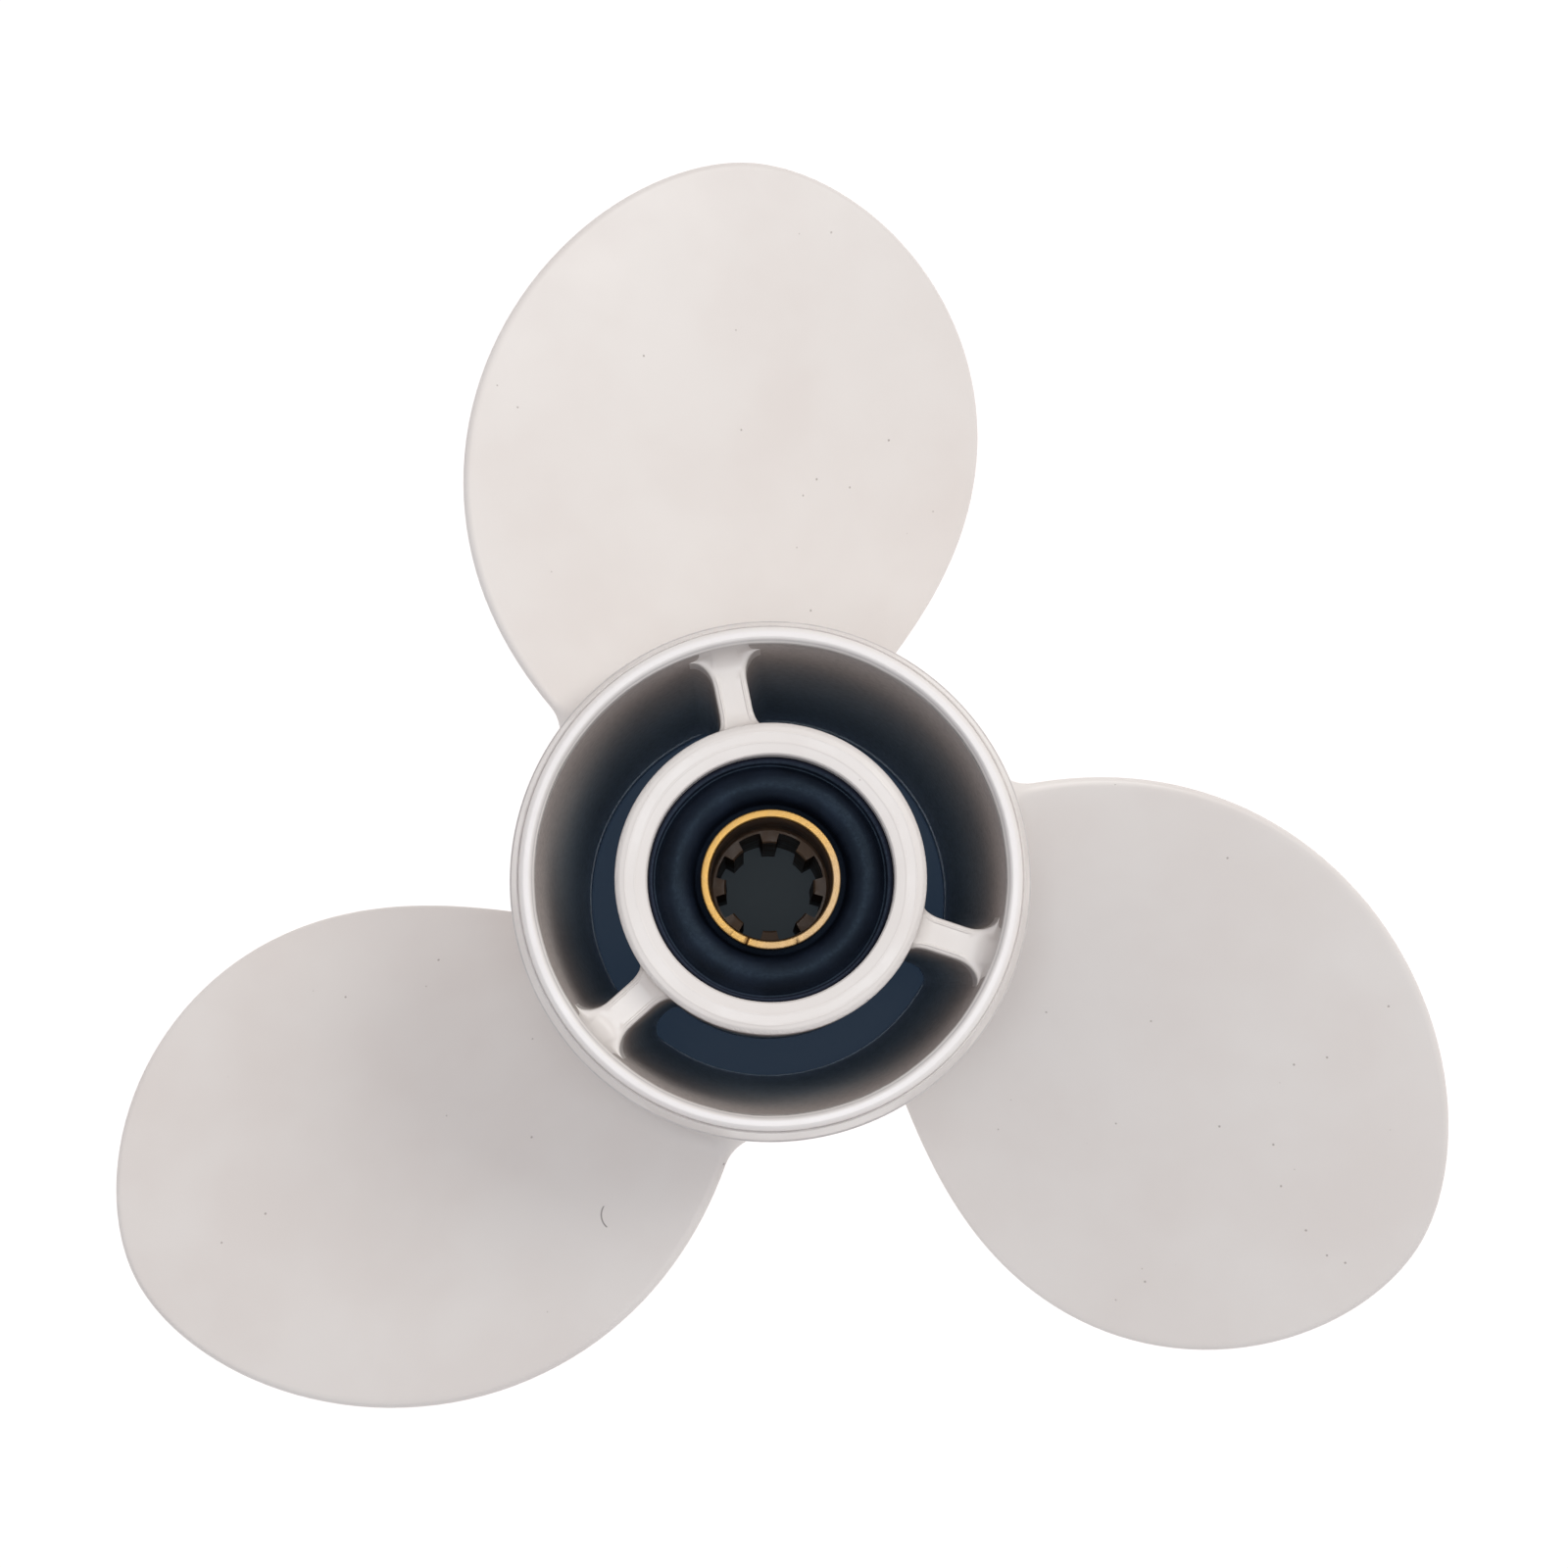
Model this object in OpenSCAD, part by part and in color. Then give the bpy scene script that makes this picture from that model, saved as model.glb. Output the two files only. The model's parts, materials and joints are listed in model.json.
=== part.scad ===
// Three-blade outboard propeller with through-hub exhaust, rubber bush and splined sleeve.
// Millimetres. The shaft axis is Z, the rear (exhaust) end is up, and Z = 0 is the front rim.

/* [Blades] */
// Diameter swept by the blade tips
propeller_d = 235; // [229:0.5:241]
// Advance of the blade face in one turn, a right-hand screw
pitch = 254; // [229:1:267]
// Height of the blade face above the front rim, along the tip's radius
blade_mid_z = 29.5; // [27:0.5:33]
// Thickness of a blade at its root, before the root fillet
root_thickness = 8; // [6:0.5:9]
// Thickness of a blade at its tip
tip_thickness = 2.6; // [2:0.1:3.5]
// Radius of the fillet between blade and hub
root_fillet = 5; // [3:0.5:6]

/* [Outer hub] */
// Length of the hub along the shaft
hub_length = 86; // [84:1:90]
// Diameter of the hub at its widest ring, near the rear end
hub_widest_d = 78; // [77:0.5:80]
// Outer diameter at the front rim
hub_front_d = 67; // [66:0.5:70]
// Bore of the front rim
front_bore_d = 58; // [56:0.5:60]
// Inner diameter at the rear mouth
rear_mouth_d = 70.6; // [69:0.2:71.4]

/* [Inner hub and ribs] */
// Outer diameter of the inner hub
inner_hub_d = 46.2; // [45:0.2:47]
// Bore that grips the rubber bush
bush_bore_d = 36.6; // [36:0.1:37.4]
// Thickness of each rib
rib_thickness = 5; // [4:0.5:6]
// Radius of the fillets on the sides of the ribs
rib_fillet = 4; // [2:0.5:4.5]

/* [Bush and sleeve] */
// Outer diameter of the splined sleeve
sleeve_d = 20.8; // [20.4:0.1:21.4]
// Length of the splined sleeve
sleeve_length = 75; // [73:0.5:75]
// Diameter of the plain bore at the rear of the sleeve
counterbore_d = 18.1; // [17.6:0.1:18.3]
// Depth of that bore
counterbore_depth = 29; // [20:1:35]
// Diameter at the roots of the spline
spline_major_d = 16.8; // [16.4:0.1:17]
// Diameter across the tips of the spline teeth
spline_minor_d = 13.6; // [13.2:0.1:14]
// Radial gap between the bush and each part that it turns against
running_gap = 0.04; // [0.03:0.01:0.08]

/* [Hidden] */

$fn = 96;
blade_count = 3;
first_rib_angle = 90;
first_blade_angle = 80;
spline_angle = -11.5;
spline_teeth = 8;

// Outer hub: the front land, the widest ring and the rear lip
land_length = 6;
ring_z = hub_length - 11;
ring_edge = 0.4;
lip_width = 1.8;
lip_step = 0.4;
lip_z = hub_length - 1.6;
band_top_r = rear_mouth_d / 2 + lip_width + lip_step;
front_chamfer = 0.8;

// Inner hub: the shoulder at the front stops the bush
inner_front_z = 6;
inner_rear_z = hub_length - 1.5;
shoulder_length = 6;
shoulder_bore_d = 28;
crest_width = 1.6;
crest_drop = 0.9;
bore_chamfer = 1.8;

// Ribs: their fillets start inside the inner hub and end just inside the mouth's radius
rib_front_z = 8;
rib_rear_z = hub_length - 7;
rib_overlap = 2;
rib_inner_sink = 1.2;
rib_mouth_gap = 0.5;

// Bush: a groove and a round bead on its rear face, and a little room in front of it
bush_room = 0.4;
bush_front_z = inner_front_z + shoulder_length + bush_room;
bush_rear_z = hub_length - 6.5;
bush_chamfer = 1;
bush_rear_chamfer = 0.5;
bush_groove_slope = 0.4;
bush_bead_r = 14.2;
bush_bead_width = 2.6;
bush_bead_rise = 2.6;
bush_groove_depth = 1.2;
bush_inner_dip = 1.5;

// Sleeve
sleeve_front_z = 6;
sleeve_rear_z = sleeve_front_z + sleeve_length;
sleeve_chamfer = 0.5;
tooth_root_width = 3;
tooth_tip_width = 2.1;
tooth_root_r = spline_major_d / 2 + 0.2;

// Blade edges as cubic curves: radius and angle from the tip's own radius
tip_r = propeller_d / 2;
leading_edge = [[tip_r, 0], [tip_r, -15], [67, -42], [32, -25.5]];
trailing_edge = [[tip_r, 0], [tip_r, 14.5], [71.5, 45.5], [35, 49.5]];
stations = 26;
chord_steps = 14;
tip_start = 0.003;
edge_rounding = 0.7;
edge_power = 6;
thickness_power = 1.2;
root_stretch = 0.1;
tip_round = 0.06;

function bezier(p, t) =
    pow(1 - t, 3) * p[0] + 3 * pow(1 - t, 2) * t * p[1] + 3 * (1 - t) * t * t * p[2] + pow(t, 3) * p[3];
// Outer radius of the hub's cone
function hub_r(z) = hub_front_d / 2 + (hub_widest_d - hub_front_d) / 2 * z / ring_z;
// The screw face: height above the front rim at an angle from the tip's own radius
function face_z(angle) = blade_mid_z + pitch * angle / 360;
// Growth of the blade close to the hub, which makes the root fillet
function flare(r, z) =
    let (gap = max(0, min(1, (r - hub_r(z)) / root_fillet)))
    root_fillet * (1 - sqrt(1 - pow(1 - gap, 2)));
// Place of a blade section along the edge curves, 0 at the tip, with sections closer together at the hub
function station(i) =
    let (s = tip_start + (1 - tip_start) * i / stations)
    s + root_stretch * sin(180 * s);
// Thickness of a blade section, square to its face
function thickness(r) =
    let (s = (tip_r - r) / (tip_r - hub_widest_d / 2))
    tip_thickness + (root_thickness - tip_thickness) * pow(max(0, s), thickness_power);
// A point of the blade: c runs 0 to 1 from leading to trailing edge, side is 1 aft and -1 forward
function blade_point(t, c, side) =
    let (edge_a = bezier(leading_edge, t))
    let (edge_b = bezier(trailing_edge, t))
    let (mid = edge_a + (edge_b - edge_a) * c)
    let (spread = flare(mid[0], face_z(mid[1])))
    let (stretch = sqrt(1 + pow(pitch / (2 * PI * mid[0]), 2)))
    let (angle = mid[1] + (2 * c - 1) * spread / stretch / mid[0] * 180 / PI)
    let (tip_fade = sqrt(1 - pow(1 - min(1, t / tip_round), 2)))
    let (lens = tip_fade * sqrt(max(0, 1 - pow(2 * c - 1, 2))))
    let (aft = spread * lens * stretch - edge_rounding * pow(abs(2 * c - 1), edge_power))
    let (depth = (thickness(mid[0]) + 2 * spread) * lens * stretch)
    [mid[0] * cos(angle), mid[0] * sin(angle), face_z(angle) + (side > 0 ? aft : aft - depth)];
// Share of the chord, with points closer together at both edges
function chord(j) = (1 - cos(180 * j / chord_steps)) / 2;
// One closed ring of points: aft side from leading to trailing edge, then back on the forward side
function blade_ring(t) = concat(
    [for (j = [0:chord_steps]) blade_point(t, chord(j), 1)],
    [for (j = [chord_steps - 1:-1:1]) blade_point(t, chord(j), -1)]);

// Points of a round, from one angle to another
function arc(centre, r, a0, a1, steps) =
    [for (i = [0:steps]) centre + r * [cos(a0 + (a1 - a0) * i / steps), sin(a0 + (a1 - a0) * i / steps)]];

module cast_colour() {
    color([0.86, 0.84, 0.82]) children();
}

// Exhaust tube: a cone outside, a wider cone inside, and a rounded lip round the rear mouth
module outer_hub() {
    lip_r = lip_width / 2;
    cast_colour()
    rotate_extrude()
    polygon(concat(
        [[front_bore_d / 2, 0], [hub_front_d / 2 - front_chamfer, 0], [hub_r(front_chamfer), front_chamfer]],
        [[hub_widest_d / 2, ring_z], [hub_widest_d / 2 - ring_edge / 2, ring_z + ring_edge]],
        [[band_top_r, lip_z - lip_step], [band_top_r - lip_step, lip_z]],
        arc([rear_mouth_d / 2 + lip_r, hub_length - lip_r], lip_r, 0, 180, 8),
        [[rear_mouth_d / 2, lip_z - lip_step], [front_bore_d / 2, land_length]]));
}

// Barrel that holds the rubber bush, with a shoulder at the front and a soft rear crest
module inner_hub() {
    outer_r = inner_hub_d / 2;
    bore_r = bush_bore_d / 2;
    cast_colour()
    rotate_extrude()
    polygon(concat(
        [[shoulder_bore_d / 2, inner_front_z], [outer_r - front_chamfer, inner_front_z]],
        [[outer_r, inner_front_z + front_chamfer]],
        [[outer_r, inner_rear_z - crest_drop], [outer_r - crest_width / 2, inner_rear_z - crest_drop / 4]],
        [[outer_r - crest_width, inner_rear_z], [bore_r + bore_chamfer, inner_rear_z]],
        [[bore_r + bore_chamfer / 3, inner_rear_z - crest_drop / 2], [bore_r, inner_rear_z - bore_chamfer]],
        [[bore_r, inner_front_z + shoulder_length], [shoulder_bore_d / 2, inner_front_z + shoulder_length]]));
}

// Plan of a rib: a plate whose sides are hollowed, leaving a fillet at each end
module rib_plan() {
    inner_x = inner_hub_d / 2;
    outer_x = rear_mouth_d / 2 - rib_mouth_gap;
    side = rib_thickness / 2 + rib_fillet;
    inner_centre_x = inner_x + rib_fillet - rib_inner_sink;
    outer_centre_x = outer_x - rib_fillet;
    difference() {
        translate([inner_x - rib_overlap, -side])
            square([outer_x - inner_x + 2 * rib_overlap, 2 * side]);
        for (s = [-1, 1]) {
            translate([inner_centre_x, s * side]) circle(r = rib_fillet);
            translate([outer_centre_x, s * side]) circle(r = rib_fillet);
            translate([inner_centre_x, s > 0 ? rib_thickness / 2 : -side])
                square([outer_centre_x - inner_centre_x, rib_fillet]);
        }
    }
}

// Rib between the two hubs, trimmed to their walls
module rib(number) {
    cast_colour()
    rotate([0, 0, first_rib_angle + 360 / blade_count * (number - 1)])
    difference() {
        intersection() {
            translate([0, 0, rib_front_z]) linear_extrude(rib_rear_z - rib_front_z) rib_plan();
            rotate_extrude()
                polygon([[0, land_length], [front_bore_d / 2, land_length],
                         [rear_mouth_d / 2, lip_z - lip_step], [0, lip_z - lip_step]]);
        }
        cylinder(d = inner_hub_d, h = hub_length);
    }
}

// Blade: a right-hand screw face, lens sections and a flared root, cut back to the hub's wall
module blade(number) {
    ring = 2 * chord_steps;
    points = [for (i = [0:stations]) each blade_ring(min(1, station(i)))];
    sides = [for (i = [0:stations - 1]) for (j = [0:ring - 1])
        let (a = i * ring + j)
        let (b = i * ring + (j + 1) % ring)
        each [[a, b, b + ring], [a, b + ring, a + ring]]];
    tip_cap = [for (j = [0:chord_steps - 1])
        let (k = ring - j)
        each [[j, k % ring, k - 1], [j, k - 1, j + 1]]];
    base = stations * ring;
    root_cap = [for (j = [0:chord_steps - 1])
        let (k = ring - j)
        each [[base + j, base + k - 1, base + k % ring], [base + j, base + j + 1, base + k - 1]]];
    cast_colour()
    rotate([0, 0, first_blade_angle + 360 / blade_count * (number - 1)])
    difference() {
        polyhedron(points, concat(sides, tip_cap, root_cap));
        cylinder(r1 = hub_front_d / 2, r2 = hub_widest_d / 2, h = ring_z);
    }
}

// Rubber bush between sleeve and inner hub, with a bead and a groove on its rear face
module rubber_bush() {
    outer_r = bush_bore_d / 2 - running_gap;
    inner_r = sleeve_d / 2 + running_gap;
    bead_z = bush_rear_z - bush_groove_depth;
    dip_z = bush_rear_z - bush_inner_dip;
    color([0.08, 0.1, 0.13])
    rotate_extrude()
    polygon(concat(
        [[inner_r, bush_front_z], [outer_r - bush_chamfer, bush_front_z]],
        [[outer_r, bush_front_z + bush_chamfer]],
        [[outer_r, bush_rear_z - bush_rear_chamfer], [outer_r - bush_rear_chamfer, bush_rear_z]],
        [[bush_bead_r + bush_bead_width + bush_groove_slope, bush_rear_z]],
        [[bush_bead_r + bush_bead_width, bead_z]],
        [for (a = [15:15:165]) [bush_bead_r + bush_bead_width * cos(a), bead_z + bush_bead_rise * sin(a)]],
        [[bush_bead_r - bush_bead_width, dip_z], [inner_r, dip_z]]));
}

// Spline bore: a round hole with straight-sided teeth left standing in it
module spline_hole() {
    difference() {
        circle(d = spline_major_d);
        for (i = [0:spline_teeth - 1])
            rotate(spline_angle + 360 / spline_teeth * i)
                polygon([[spline_minor_d / 2, -tooth_tip_width / 2], [tooth_root_r, -tooth_root_width / 2],
                         [tooth_root_r, tooth_root_width / 2], [spline_minor_d / 2, tooth_tip_width / 2]]);
    }
}

// Brass sleeve: spline at the front, plain counterbore at the rear, flat thrust faces
module splined_sleeve() {
    outer_r = sleeve_d / 2;
    bore_r = counterbore_d / 2;
    spline_end = sleeve_rear_z - counterbore_depth;
    color([0.78, 0.6, 0.28])
    difference() {
        rotate_extrude()
            polygon([[0, sleeve_front_z], [outer_r - sleeve_chamfer, sleeve_front_z],
                     [outer_r, sleeve_front_z + sleeve_chamfer],
                     [outer_r, sleeve_rear_z - sleeve_chamfer / 2],
                     [outer_r - sleeve_chamfer / 2, sleeve_rear_z], [0, sleeve_rear_z]]);
        translate([0, 0, sleeve_front_z - 1]) linear_extrude(spline_end - sleeve_front_z + 2) spline_hole();
        translate([0, 0, spline_end]) cylinder(r = bore_r, h = counterbore_depth + 1);
        translate([0, 0, sleeve_rear_z - sleeve_chamfer])
            cylinder(r1 = bore_r, r2 = bore_r + 2 * sleeve_chamfer, h = 2 * sleeve_chamfer);
    }
}

outer_hub();
inner_hub();
rib(1);  // rib_1
rib(2);  // rib_2
rib(3);  // rib_3
blade(1);  // blade_1
blade(2);  // blade_2
blade(3);  // blade_3
rubber_bush();
splined_sleeve();
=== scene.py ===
# Three-blade outboard propeller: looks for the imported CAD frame. Metres, shaft along Z, rear end up.
# Shapes are worked out in millimetres and scaled to metres when each mesh is made.
import json
import math

import bmesh
import bpy
import numpy as np
from mathutils import Matrix, Vector


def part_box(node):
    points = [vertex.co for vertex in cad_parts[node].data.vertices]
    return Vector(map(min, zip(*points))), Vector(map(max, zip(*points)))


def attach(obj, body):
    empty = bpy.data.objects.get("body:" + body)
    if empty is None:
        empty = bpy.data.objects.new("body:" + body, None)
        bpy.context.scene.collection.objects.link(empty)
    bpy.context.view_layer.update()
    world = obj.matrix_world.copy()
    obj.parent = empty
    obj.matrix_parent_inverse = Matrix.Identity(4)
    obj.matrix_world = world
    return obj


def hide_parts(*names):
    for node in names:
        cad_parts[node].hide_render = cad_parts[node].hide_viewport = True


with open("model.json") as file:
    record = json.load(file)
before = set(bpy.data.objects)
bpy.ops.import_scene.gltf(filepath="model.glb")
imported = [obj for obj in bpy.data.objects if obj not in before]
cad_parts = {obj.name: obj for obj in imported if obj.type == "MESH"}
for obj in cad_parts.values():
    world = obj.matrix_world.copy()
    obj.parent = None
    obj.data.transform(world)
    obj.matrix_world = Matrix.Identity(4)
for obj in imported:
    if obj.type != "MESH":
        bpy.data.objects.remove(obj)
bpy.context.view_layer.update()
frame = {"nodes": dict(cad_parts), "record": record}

MM = 0.001
TURN = 2 * math.pi


# ---------------------------------------------------------------- sizes from the frame
def heights(node):
    """Lowest and highest Z of a CAD node, in millimetres."""
    low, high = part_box(node)
    return low.z / MM, high.z / MM


def reach(node):
    """Distance from the shaft axis to the farthest point of a CAD node, in millimetres."""
    return max(math.hypot(v.co.x, v.co.y) for v in frame["nodes"][node].data.vertices) / MM


def mount_radius(name):
    """Radius of a bore in the record, in millimetres."""
    return next(m["dims"]["r_mm"] for m in frame["record"]["mounts"] if m["name"] == name)


HUB_TOP = heights("outer_hub")[1]
HUB_WIDEST_R = reach("outer_hub")
TIP_R = reach("blade_1")
FRONT_BORE_R = mount_radius("front_exhaust_socket")
INNER_R = reach("inner_hub")
INNER_LOW, INNER_TOP = heights("inner_hub")
RIB_LOW, RIB_TOP = heights("rib_1")
BUSH_R = reach("rubber_bush")
BUSH_LOW, BUSH_HIGH = heights("rubber_bush")
SLEEVE_R = reach("splined_sleeve")
SLEEVE_LOW, SLEEVE_TOP = heights("splined_sleeve")
COUNTERBORE_R = mount_radius("rear_counterbore")

# ---------------------------------------------------------------- sizes chosen here, in millimetres
# Gap left between pieces that fit in one another
PLAY = 0.04

BLADES = 3
RIB_ANGLE = math.radians(90)
BLADE_ANGLE = math.radians(80)
PITCH = 254.0
BLADE_MID_Z = 29.5
TIP_THICKNESS = 2.6
ROOT_THICKNESS = 8.0
THICKNESS_POWER = 1.2
EDGE_R = 0.9
ROOT_FILLET = 5.0
# Blade edges as cubic curves: radius in mm and angle in degrees from the tip's own radius
LEADING_EDGE = ((TIP_R, 0), (TIP_R, -15), (67, -42), (32, -25.5))
TRAILING_EDGE = ((TIP_R, 0), (TIP_R, 14.5), (71.5, 45.5), (35, 49.5))

# Outer hub, from its front end to the lip, and the shoulder at the front of the inner hub's bore
HUB_FRONT_R = 33.5
RING_Z = HUB_TOP - 11
RIM_CHAMFER = 0.8
LAND_LENGTH = 6.0
SHOULDER_R = 14.0
SHOULDER_LENGTH = 6.0
MOUTH_R = 34.85
LIP_SEAM_Z = HUB_TOP - 2
LIP_GROOVE_R = MOUTH_R + 2.5

# Ribs: each spreads into wings on the outer wall and into heels on the inner hub
RIB_WIDTH = 5.0
RIB_DRAFT = 0.8
WING_SIDE, WING_REACH = 2.9, 4.1
HEEL_SIDE, HEEL_REACH = 1.1, 3.0
SHORTEST_STRAIGHT = 0.6
RIB_EDGE_R = 0.5
RIB_RISE = 2.0
CREST_WANDER = 0.07
# Columns across a rib's end face, as shares of its half width, and the raised line of paint along its edges
RIB_COLUMNS = np.array([-1, -0.94, -0.87, -0.77, -0.4, 0, 0.4, 0.77, 0.87, 0.94, 1])
EDGE_LIFT = np.array([0, 0.15, 0.16, 0, 0, 0, 0, 0, 0.16, 0.15, 0])
# A ramp rises from each rib to the lip; its foot leaves the rib's sides at this station of rib_side
FOOT_STATION = 7
FOOT_BULGE = 0.9
BULGE_STATIONS = 5
PAD_TOP_HALF = 3.75

# Rear face of the rubber bush
BAND_DROP = 1.4
GROOVE_R = 17.2
GROOVE_WIDEST = math.radians(238)
BEAD_R = 14.2
DIP_R = 11.3

# Sleeve
COUNTERBORE_DEPTH = 29.0
SPLINE_TEETH = 8
SPLINE_ANGLE = math.radians(-11.5)
SPLINE_MAJOR_R = 8.4
SPLINE_MINOR_R = 6.8
TOOTH_TIP_HALF = math.asin(1.05 / SPLINE_MINOR_R)
TOOTH_ROOT_HALF = math.asin(1.49 / SPLINE_MAJOR_R)
END_CHAMFER_R = SPLINE_MAJOR_R + 0.7
# Small notches in the sleeve's rear face: angle, depth in mm and share of the ring's width that they cross
NOTCHES = (
    (math.radians(237.1), 0.42, 1.0), (math.radians(281.4), 0.34, 0.4),
    (math.radians(217.5), 0.24, 0.22), (math.radians(221.5), 0.2, 0.16))
NOTCH_HALF = 0.24

# ---------------------------------------------------------------- mesh density
AROUND = 64
SIDE_STEPS = 36
PAD_ACROSS = 2 * FOOT_STATION + len(RIB_COLUMNS) - 1
WALL_STEPS = AROUND - PAD_ACROSS
INNER_STEPS = 40
RING_POINTS = 2 * (AROUND + SIDE_STEPS)
HALF_RING = RING_POINTS // 2
EDGE_STEPS = 6
TIP_STEPS = 6
BLADE_STATIONS = 46
FILLET_STEPS = 10
PATCH_STEPS = 12
PATCH_POWER = 1.25
RIB_CURVE_POINTS = 11
RIB_STRAIGHT_POINTS = 5
PASSAGE_LEVELS = 28
PAINTED_LOOPS = 6
BUSH_STEPS = 160
TOOTH_TIP_STEPS, TOOTH_FLANK_STEPS, TOOTH_ROOT_STEPS = 8, 4, 16
# Points with the same key are joined. The odd share keeps round sizes off the border between two keys
KEYS_PER_MM, KEY_SHARE = 2000, 0.137


class Skin:
    """Patches of quads that share their border points, joined into one closed mesh."""

    def __init__(self):
        self.points, self.faces, self.slots = [], [], []
        self.count = 0

    def grid(self, rows, slot=0, closed=False):
        """Adds quads between rows of points; closed joins each row's last point to its first.

        Slot is a material slot for all the quads, or one for each column.
        """
        rows = np.asarray(rows, float)
        m, n, _ = rows.shape
        index = self.count + np.arange(m * n).reshape(m, n)
        after = np.roll(index, -1, axis=1) if closed else index[:, 1:]
        here = index if closed else index[:, :-1]
        quads = np.stack([here[:-1], after[:-1], after[1:], here[1:]], -1).reshape(-1, 4)
        self.points.append(rows.reshape(-1, 3))
        self.faces.append(quads)
        self.slots.append(np.broadcast_to(slot, (m - 1, after.shape[1])).ravel())
        self.count += m * n

    def mesh(self, name, materials, sharp_angle=32):
        """One mesh in metres: equal points joined, faces turned outward, sharp edges marked by angle."""
        points = np.concatenate(self.points)
        faces = np.concatenate(self.faces)
        slots = np.concatenate(self.slots)
        keys = np.round(points * KEYS_PER_MM + KEY_SHARE).astype(np.int64)
        _, first, same = np.unique(keys, axis=0, return_index=True, return_inverse=True)
        same = same.ravel()
        made, kept = [], []
        for face, slot in zip(same[faces], slots):
            corners = [int(v) for k, v in enumerate(face) if v != face[k - 1]]
            if len(set(corners)) == len(corners) >= 3:
                made.append(corners)
                kept.append(slot)
        mesh = bpy.data.meshes.new(name)
        mesh.from_pydata(points[first] * MM, [], made)
        mesh.polygons.foreach_set("material_index", np.array(kept, np.int32))
        for material in materials:
            mesh.materials.append(material)
        turn_outward(mesh)
        mesh.polygons.foreach_set("use_smooth", np.ones(len(mesh.polygons), bool))
        mesh.set_sharp_from_angle(angle=math.radians(sharp_angle))
        mesh.validate()
        return mesh


def turn_outward(mesh):
    """Turns every face of a closed mesh outward."""
    work = bmesh.new()
    work.from_mesh(mesh)
    bmesh.ops.recalc_face_normals(work, faces=work.faces)
    if work.calc_volume(signed=True) < 0:
        bmesh.ops.reverse_faces(work, faces=work.faces)
    work.to_mesh(mesh)
    work.free()


def ring(angles, r, z):
    """Points at those angles round the shaft axis."""
    angles = np.asarray(angles, float)
    r, z = np.broadcast_to(r, angles.shape), np.broadcast_to(z, angles.shape)
    return np.stack([r * np.cos(angles), r * np.sin(angles), z], -1)


def round_corner(before, corner, after, radius, steps=4):
    """Points of the round that takes the place of a profile's corner."""
    a, b, c = (np.array(p, float) for p in (before, corner, after))
    to_a, to_c = (a - b) / np.linalg.norm(a - b), (c - b) / np.linalg.norm(c - b)
    half = math.acos(max(-1, min(1, to_a @ to_c))) / 2
    middle = (to_a + to_c) / np.linalg.norm(to_a + to_c)
    centre = b + middle * radius / math.sin(half)
    back = radius / math.tan(half)
    start, end = b + to_a * back - centre, b + to_c * back - centre
    sweep = math.pi - 2 * half
    shares = np.linspace(0, 1, steps + 1)[:, None]
    return centre + (np.sin((1 - shares) * sweep) * start + np.sin(shares * sweep) * end) / math.sin(sweep)


def profile(corners, steps=4):
    """A profile from (r, z) corners, or (r, z, radius) where the corner is rounded."""
    points = []
    for k, corner in enumerate(corners):
        if len(corner) == 3 and 0 < k < len(corners) - 1:
            before, after = corners[k - 1][:2], corners[k + 1][:2]
            points.extend(round_corner(before, corner[:2], after, corner[2], steps))
        else:
            points.append(np.array(corner[:2], float))
    return np.array(points)


def turned(line, start_angles, end_angles=None):
    """Rows of rings for a profile, whose angles slide from one set to the other along it."""
    end_angles = start_angles if end_angles is None else end_angles
    length = np.concatenate([[0], np.cumsum(np.hypot(*np.diff(line, axis=0).T))])
    shares = length / length[-1]
    return [ring(start_angles + (end_angles - start_angles) * s, r, z) for s, (r, z) in zip(shares, line)]


# ---------------------------------------------------------------- blades
def cubic(control, t):
    """Point of a cubic curve at share t."""
    t = np.asarray(t, float)[..., None]
    p = np.array(control, float)
    return (1 - t) ** 3 * p[0] + 3 * (1 - t) ** 2 * t * p[1] + 3 * (1 - t) * t * t * p[2] + t ** 3 * p[3]


def edge_point(control, t):
    """Radius, and angle in radians, of a blade edge at share t."""
    p = cubic(control, t)
    return p[..., 0], np.radians(p[..., 1])


def stretch(r):
    """Length along the screw face for each unit of length round the axis."""
    return np.sqrt(1 + (PITCH / (TURN * r)) ** 2)


def hub_r(z):
    """Outer radius of the hub's cone."""
    return HUB_FRONT_R + (HUB_WIDEST_R - HUB_FRONT_R) * z / RING_Z


def helix_angle(z):
    """Angle at which the screw face has height z, from the tip's own radius."""
    return (z - BLADE_MID_Z) * TURN / PITCH


def outline_distance(r, angle):
    """Distance from a point of the blade to its outline, along the screw face."""
    t = np.linspace(0, 1, 260)
    lead_r, lead_a = edge_point(LEADING_EDGE, t)
    trail_r, trail_a = edge_point(TRAILING_EDGE, t)
    line_r = np.concatenate([lead_r[::-1], trail_r[1:]])
    line_a = np.concatenate([lead_a[::-1], trail_a[1:]])
    across = (line_a - angle[..., None]) * (r * stretch(r))[..., None]
    up = line_r - r[..., None]
    ax, ay, bx, by = across[..., :-1], up[..., :-1], across[..., 1:], up[..., 1:]
    dx, dy = bx - ax, by - ay
    share = np.clip(-(ax * dx + ay * dy) / (dx * dx + dy * dy + 1e-12), 0, 1)
    return np.sqrt((ax + share * dx) ** 2 + (ay + share * dy) ** 2).min(-1)


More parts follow.
